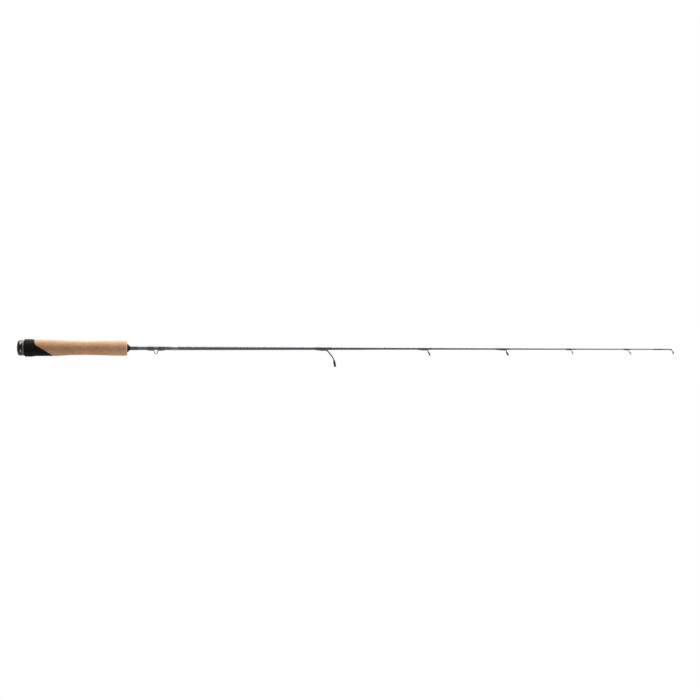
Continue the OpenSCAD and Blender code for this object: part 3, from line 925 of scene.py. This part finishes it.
def make_blank():
    """The blank in six lengths, one for each flex joint, that meet inside the guides' wraps."""
    joins = [BLANK_START]
    joins += [x - length / 2 for x, length in zip(GUIDES["x"], GUIDES["wrap_length"])]
    joins += [BLANK_END]
    nodes = [["blank_butt"]] + [[f"blank_section_{n}"] for n in range(1, 5)]
    nodes += [["blank_section_5", "blank_section_6"]]
    for n, x in enumerate(FLEX_X):
        a, b = joins[n], joins[n + 1]
        stops = np.unique(np.concatenate(
            [spaced(a, b, 1.6), [s[0] for s in BLANK_STATIONS if a < s[0] < b]]
        ))
        outline = [(a, 0)] + list(zip(stops, blank_radius(stops))) + [(b, 0)]
        obj = piece(
            f"blank_span_{n + 1}", turned(outline, 48), "graphite", nodes[n], body="blended"
        )
        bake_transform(obj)


# ---- guides ----


def leaned(geometry, x, z, lean):
    """Moves a part turned about the rod's axis onto a ring's own centre and lean."""
    verts, faces = geometry
    c, s = math.cos(lean), math.sin(lean)
    turn = np.array([[c, 0, -s], [0, 1, 0], [s, 0, c]])
    return verts @ turn.T + np.array([x, 0, z]), faces


def band(outer, inner, width, rounding):
    half = width / 2
    return rounded([(-half, inner, rounding), (-half, outer, rounding),
                    (half, outer, rounding), (half, inner, rounding)], 6)


def bezier(points, t):
    t = t[:, None]
    p = [np.array(q, float) for q in points]
    return (1 - t) ** 2 * p[0] + 2 * t * (1 - t) * p[1] + t * t * p[2]


def strut_path(g, side):
    """Middle line of a strut: from the foot, forward and down, then splayed into the side of the hoop."""
    lean = math.radians(g.lean)
    hoop_r = (g.hoop_d - g.hoop_wall) / 2
    attach = hoop_r * math.cos(STRUT_HOOP_ANGLE)
    root = np.array([g.x + g.strut_lead, -blank_radius(g.x) - GAP - g.foot_thickness / 2])
    end = np.array([g.x + g.reach - attach * math.sin(lean), attach * math.cos(lean) - g.drop])
    down = np.array([math.sin(lean), -math.cos(lean)])
    flat = bezier([root, end - STRUT_RUN * np.linalg.norm(end - root) * down, end], np.linspace(0, 1, 25))
    root_y = (g.foot_width - g.strut_width) / 2
    end_y = hoop_r * math.sin(STRUT_HOOP_ANGLE)
    y = root_y + (root[1] - flat[:, 1]) / (root[1] - end[1]) * (end_y - root_y)
    return np.stack([flat[:, 0], side * y, flat[:, 1]], axis=1)


def foot_path(g):
    """Middle line and thickness of the foot under the wrap, thin at its rear end."""
    rear, front = g.x - g.wrap_length + FOOT_INSET, g.x + g.foot_lead
    x = np.linspace(rear, front, 20)
    share = np.clip((x - rear) / (FOOT_FULL_AT * (front - rear)), 0, 1)
    thickness = FOOT_TIP + (g.foot_thickness - FOOT_TIP) * share
    top = -blank_radius(x) + 0.05
    bottom = -blank_radius(x) - GAP - thickness
    path = np.stack([x, 0 * x, (top + bottom) / 2], axis=1)
    width = g.foot_width * np.clip(0.45 + (x - rear) / 3.0, 0.45, 1)
    return path, top - bottom, width


def make_guide(number):
    g = SimpleNamespace(**{key: values[number - 1] for key, values in GUIDES.items()})
    name = f"guide_{number}"
    lean, ring_x, ring_z = math.radians(g.lean), g.x + g.reach, -g.drop
    hoop_inner = g.hoop_d / 2 - g.hoop_wall
    foot, foot_t, foot_w = foot_path(g)
    parts = [swept(foot, foot_t, foot_w, 4.0, 24)]
    for side in (-1, 1):
        path = strut_path(g, side)
        share = np.linspace(0, 1, len(path))
        width = g.strut_width * (1 - STRUT_NARROWING * np.sin(math.pi * share))
        thickness = g.strut_thickness * (STRUT_ENDS - STRUT_WAIST * np.sin(math.pi * share))
        parts.append(swept(path, thickness, width, 3.2, 24))
    hoop = band(g.hoop_d / 2, hoop_inner, g.hoop_width, 0.42 * g.hoop_wall)
    parts.append(leaned(turned(hoop, 96), ring_x, ring_z, lean))
    finished(name + "_frame_skin", melted(parts, g.voxel, 8), "steel", [name + "_frame"], crease=60)
    insert = band(hoop_inner - GAP, hoop_inner - GAP - g.ring_wall, g.ring_width, 0.48 * g.ring_wall)
    piece(
        name + "_ring_skin", leaned(turned(insert, 96), ring_x, ring_z, lean),
        "ring_black", [name + "_ring"], crease=60,
    )
    a, b = span(name + "_wrap")
    rear = g.x - g.wrap_length + FOOT_INSET

    def depth(x):
        share = np.clip((x - rear) / (FOOT_FULL_AT * (g.x + g.foot_lead - rear)), 0, 1)
        foot = np.where(x > rear, GAP + FOOT_TIP + (g.foot_thickness - FOOT_TIP) * share, 0)
        return blank_radius(x) + foot * ease(np.clip((x - rear) / FOOT_RISE + 0.5, 0, 1))

    wrap = softened(wrap_geometry(a, b, WRAP_THICKNESS, g.foot_width, depth, 96), 4)
    finished(name + "_wrap_skin", wrap, "thread", [name + "_wrap"])
    a, b = span(name + "_lock_wrap")
    piece(name + "_lock_wrap_skin", wrap_geometry(a, b, WRAP_THICKNESS), "thread", [name + "_lock_wrap"])


# ---- tip-top ----


def flat_path(points):
    """Points (x, z) in the rod's middle plane."""
    return np.stack([points[:, 0], 0 * points[:, 0], points[:, 1]], axis=1)


def tip_tube():
    """The tube that takes the blank's tip, with a rounded nose."""
    r, a, b = TIP_TUBE_RADIUS, TIP_TUBE_START, TIP_TUBE_END
    nose = [
        (b - 0.5 + 0.5 * math.sin(angle), r * (0.45 + 0.55 * math.cos(angle)))
        for angle in np.linspace(0, math.pi / 2, 8)
    ]
    rear = [(a, 0), (a, r - 0.15), (a + 0.12, r), (a + 4, r), (a + 8, r)]
    return turned(rear + nose + [(b, 0)], 64)


def tip_arms():
    """The neck from the tube to the top of the hoop, and the two braces to its sides."""
    centre = np.array([TIP_RING_X, TIP_RING_Z])
    middle_r = TIP_HOOP_RADIUS - TIP_HOOP_WALL / 2
    up = np.array([-math.sin(TIP_LEAN), math.cos(TIP_LEAN)])
    tube_end = TIP_TUBE_END
    neck = bezier(
        [(tube_end - 2.6, -0.35), (tube_end + 0.1, -0.9), centre + middle_r * up], np.linspace(0, 1, 12)
    )
    arms = [swept(flat_path(neck), np.linspace(1.3, 0.85, 12), np.linspace(1.7, 2.1, 12), 3.0, 24)]
    root_y, end_y = TIP_BRACE_ROOT, middle_r * math.sin(TIP_BRACE_ANGLE)
    share = np.linspace(0, 1, 14)
    foot_point = centre + middle_r * math.cos(TIP_BRACE_ANGLE) * up
    for side in (-1, 1):
        brace = flat_path(bezier([(tube_end - 1.6, -0.7), (tube_end + 0.3, -1.9), foot_point], share))
        brace[:, 1] = side * (root_y + (end_y - root_y) * share**0.8)
        arms.append(swept(brace, TIP_BRACE_WIDTH, TIP_BRACE_WIDTH, 3.0, 16))
    return arms


def make_tip():
    place = (TIP_RING_X, TIP_RING_Z, TIP_LEAN)
    hoop = band(TIP_HOOP_RADIUS, TIP_HOOP_RADIUS - TIP_HOOP_WALL, TIP_HOOP_WIDTH, 0.18)
    parts = [tip_tube()] + tip_arms() + [leaned(turned(hoop, 96), *place)]
    skin = finished("tip_top_frame_skin", melted(parts, 0.07, 6), "steel", ["tip_top_frame"], crease=60)
    skin.data.materials[0] = MATERIALS["tip_steel"]
    outer = TIP_HOOP_RADIUS - TIP_HOOP_WALL - GAP
    insert = band(outer, outer - TIP_RING_WALL, TIP_RING_WIDTH, 0.48 * TIP_RING_WALL)
    piece(
        "tip_top_ring_skin", leaned(turned(insert, 96), *place),
        "ring_black", ["tip_top_ring"], crease=60,
    )
    a, b = span("tip_top_wrap")
    wrap = wrap_geometry(a, b, TIP_WRAP_THICKNESS, steps=48)
    piece("tip_top_wrap_skin", wrap, "thread", ["tip_top_wrap"])


# ---- stage ----


def make_camera():
    """Level with the rod and square to it, as in the photograph."""
    camera = bpy.data.cameras.new("camera")
    camera.lens = CAMERA_LENS
    camera.sensor_width = 36
    obj = bpy.data.objects.new("camera", camera)
    obj.location = CAMERA_PLACE
    obj.rotation_euler = (math.pi / 2, CAMERA_ROLL, 0)
    bpy.context.scene.collection.objects.link(obj)
    bpy.context.scene.camera = obj


def softbox(name, location, width, height, power):
    light = bpy.data.lights.new(name, "AREA")
    light.shape = "RECTANGLE"
    light.size, light.size_y, light.energy = width, height, power
    obj = bpy.data.objects.new(name, light)
    obj.location = location
    aim = Vector((ROD_MIDDLE_X, 0, 0)) - Vector(location)
    obj.rotation_euler = aim.to_track_quat("-Z", "Y").to_euler()
    bpy.context.scene.collection.objects.link(obj)


def join_camera_white(tree, lit, white, output):
    """The floor and backdrop look plain white, while what they shed on the rod stays soft."""
    path = tree.nodes.new("ShaderNodeLightPath")
    mix = tree.nodes.new("ShaderNodeMixShader")
    tree.links.new(path.outputs["Is Camera Ray"], mix.inputs[0])
    tree.links.new(lit, mix.inputs[1])
    tree.links.new(white, mix.inputs[2])
    tree.links.new(mix.outputs[0], output)


def make_backdrop():
    world = bpy.data.worlds.new("studio")
    bpy.context.scene.world = world
    world.use_nodes = True
    tree = world.node_tree
    ambient = tree.nodes["Background"]
    ambient.inputs["Color"].default_value = (1, 1, 1, 1)
    ambient.inputs["Strength"].default_value = AMBIENT
    white = tree.nodes.new("ShaderNodeBackground")
    white.inputs["Color"].default_value = (1, 1, 1, 1)
    join_camera_white(
        tree, ambient.outputs[0], white.outputs[0], tree.nodes["World Output"].inputs["Surface"]
    )


def make_floor():
    mesh = bpy.data.meshes.new("floor")
    mesh.from_pydata([(-3, -3, 0), (4, -3, 0), (4, 4, 0), (-3, 4, 0)], [], [(0, 1, 2, 3)])
    floor = bpy.data.objects.new("floor", mesh)
    floor.location = (0, 0, FLOOR_HEIGHT)
    bpy.context.scene.collection.objects.link(floor)
    material = bpy.data.materials.new("floor_white")
    material.use_nodes = True
    tree = material.node_tree
    shader = tree.nodes["Principled BSDF"]
    shader.inputs["Base Color"].default_value = (FLOOR_GREY, FLOOR_GREY, FLOOR_GREY, 1)
    shader.inputs["Roughness"].default_value = 0.9
    white = tree.nodes.new("ShaderNodeEmission")
    join_camera_white(
        tree, shader.outputs[0], white.outputs[0], tree.nodes["Material Output"].inputs["Surface"]
    )
    mesh.materials.append(material)


def make_stage():
    bpy.context.scene.view_settings.view_transform = "Standard"
    make_backdrop()
    softbox("softbox_back", (ROD_MIDDLE_X, 0.75, 0.95), 1.7, 0.5, 14)
    softbox("softbox_top", (ROD_MIDDLE_X, 0.1, 1.2), 1.7, 0.6, 24)
    make_floor()


make_camera()
make_stage()
make_butt()
make_handle()
make_fore_end()
make_keeper()
make_blank()
for guide_number in range(1, len(GUIDES["x"]) + 1):
    make_guide(guide_number)
make_tip()
